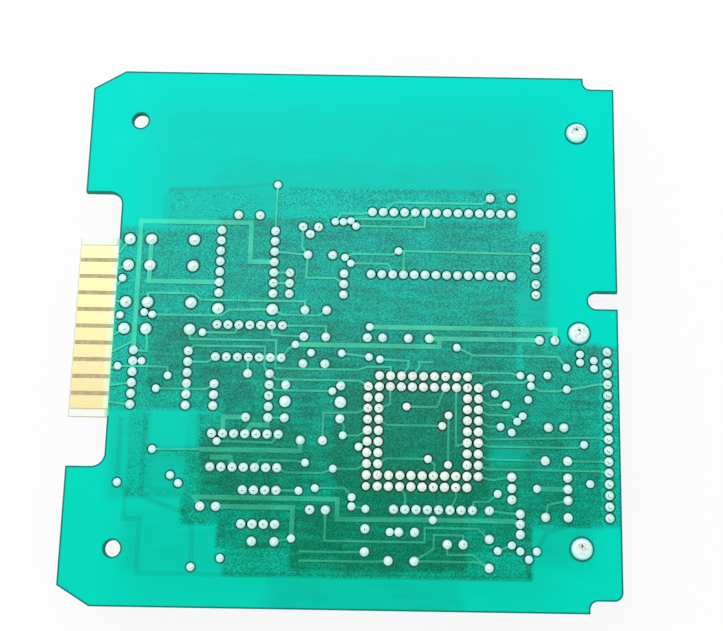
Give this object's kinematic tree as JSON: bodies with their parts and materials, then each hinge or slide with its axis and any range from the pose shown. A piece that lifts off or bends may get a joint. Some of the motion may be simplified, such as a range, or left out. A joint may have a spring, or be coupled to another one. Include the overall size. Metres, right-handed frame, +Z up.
{
  "type": "plug-in controller circuit board",
  "caption": "Square green plug-in circuit board seen from its solder side, with a gold contact tongue, two ears and a keyed far edge, its components hanging below.",
  "frame": {"origin": "centre of the board's bounding box, on the plane that its posts and relays rest on", "axes": "+X from the contact tongue to the far edge, +Y along the contact row towards the keying slot, +Z up out of the solder side"},
  "size_m": [0.1266, 0.127, 0.0156],
  "materials": {
    "laminate": "glossy translucent green epoxy and glass laminate with solder mask",
    "masked_copper": "copper under glossy green solder mask",
    "gold": "gold-plated contact",
    "solder": "bright tin-lead solder",
    "post_brass": "nickel-plated brass",
    "relay_plastic": "orange moulded cover",
    "relay_base": "black moulded base",
    "socket_brown": "brown moulded socket",
    "socket_black": "black moulded socket",
    "chip_black": "black moulded epoxy",
    "tin": "tinned lead",
    "resistor_coat": "beige lacquer",
    "diode_black": "black epoxy",
    "ceramic_coat": "ochre dipped coating",
    "can_sleeve": "dark blue sleeve over aluminium",
    "can_seal": "black rubber seal",
    "film_red": "red dipped box",
    "crystal_steel": "plated steel can",
    "network_coat": "dark moulded bar",
    "trimmer_blue": "blue moulded case",
    "screw_brass": "bright brass"
  },
  "bodies": {
    "root": {"laminate": "laminate", "solder_side_tracks": "masked_copper", "component_side_tracks": "masked_copper", "solder_side_contacts": "gold", "component_side_contacts": "gold", "solder_joints": "solder", "via_solder": "solder", "upper_support_post": "post_brass", "middle_support_post": "post_brass", "lower_support_post": "post_brass", "post_solder": "solder", "upper_relay_cover": "relay_plastic", "lower_relay_cover": "relay_plastic", "relay_bases": "relay_base", "relay_leads": "tin", "cpu_socket": "socket_brown", "cpu_socket_contacts": "tin", "cpu_chip": "chip_black", "cpu_chip_leads": "tin", "memory_socket": "socket_black", "memory_socket_contacts": "gold", "memory_chip": "chip_black", "memory_chip_leads": "tin", "upper_logic_chip": "chip_black", "lower_logic_chip": "chip_black", "timer_chip": "chip_black", "logic_leads": "tin", "resistor_bodies": "resistor_coat", "resistor_leads": "tin", "diode_bodies": "diode_black", "diode_leads": "tin", "disc_capacitor_bodies": "ceramic_coat", "disc_capacitor_leads": "tin", "can_capacitor_bodies": "can_sleeve", "can_capacitor_seals": "can_seal", "can_capacitor_leads": "tin", "film_capacitor_bodies": "film_red", "film_capacitor_leads": "tin", "crystal_can": "crystal_steel", "crystal_leads": "tin", "resistor_network": "network_coat", "resistor_network_leads": "tin", "trimmer_body": "trimmer_blue", "trimmer_screw": "screw_brass", "trimmer_leads": "tin", "transistor_bodies": "chip_black", "transistor_leads": "tin", "header_strip": "socket_black", "header_pins": "gold", "jumper_strip": "socket_black", "jumper_pins": "gold"}
  },
  "joints": []
}
